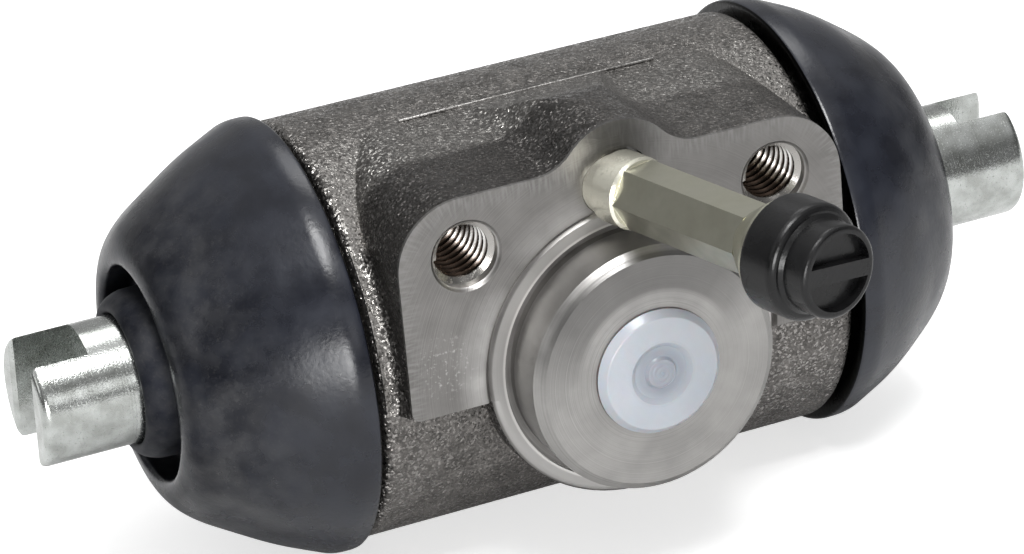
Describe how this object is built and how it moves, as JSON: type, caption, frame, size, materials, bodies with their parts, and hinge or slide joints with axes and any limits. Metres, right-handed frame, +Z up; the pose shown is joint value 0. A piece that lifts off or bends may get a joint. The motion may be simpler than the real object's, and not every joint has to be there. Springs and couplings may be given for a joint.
{
  "type": "wheel cylinder",
  "caption": "Drum brake wheel cylinder: cast iron body with faced mounting pad and pilot spigot, opposed pistons with slotted thrust pins under rubber boots, bleed screw and plugged inlet.",
  "frame": {"origin": "where the axis of the pilot spigot meets the pad face", "axes": "+X along the bore, -Y out of the pad face, +Z up as fitted with the bleed screw at the top"},
  "size_m": [0.1288, 0.0921, 0.0565],
  "materials": {
    "cast_iron": "raw casting with turned and faced surfaces",
    "boot_rubber": "satin moulded rubber",
    "zinc_steel": "bright zinc plate",
    "piston_alloy": "turned",
    "seal_rubber": "smooth",
    "pressed_steel": "yellow passivated",
    "spring_steel": "drawn wire",
    "passivated_steel": "olive yellow passivated zinc",
    "cap_rubber": "glossy moulded rubber",
    "plug_plastic": "translucent white"
  },
  "bodies": {
    "cylinder": {"cylinder_body": "cast_iron", "left_boot": "boot_rubber", "right_boot": "boot_rubber", "return_spring": "spring_steel"},
    "left_piston_set": {"left_piston": "piston_alloy", "left_cup_seal": "seal_rubber", "left_expander": "pressed_steel", "left_thrust_pin": "zinc_steel"},
    "right_piston_set": {"right_piston": "piston_alloy", "right_cup_seal": "seal_rubber", "right_expander": "pressed_steel", "right_thrust_pin": "zinc_steel"},
    "bleed_screw": {"bleed_screw": "passivated_steel"},
    "bleed_cap": {"bleed_cap": "cap_rubber"},
    "inlet_plug": {"inlet_plug": "plug_plastic"}
  },
  "joints": [
    {"name": "left_piston_slide", "type": "slide", "parent": "cylinder", "child": "left_piston_set", "axis": [-1, 0, 0], "range_m": [-0.004, 0.006], "deforming": ["left_boot", "return_spring"]},
    {"name": "right_piston_slide", "type": "slide", "parent": "cylinder", "child": "right_piston_set", "axis": [1, 0, 0], "range_m": [-0.002, 0.008], "deforming": ["right_boot", "return_spring"]},
    {"name": "bleed_screw_turn", "type": "hinge", "parent": "cylinder", "child": "bleed_screw", "pos_m": [-0.0008, 0, 0.0211], "axis": [0.284, -0.9588, 0], "range_deg": [0, 180]},
    {"name": "bleed_cap_pull", "type": "slide", "parent": "bleed_screw", "child": "bleed_cap", "axis": [0.284, -0.9588, 0], "range_m": [0, 0.012]},
    {"name": "inlet_plug_pull", "type": "slide", "parent": "cylinder", "child": "inlet_plug", "axis": [0, -1, 0], "range_m": [0, 0.012]}
  ]
}
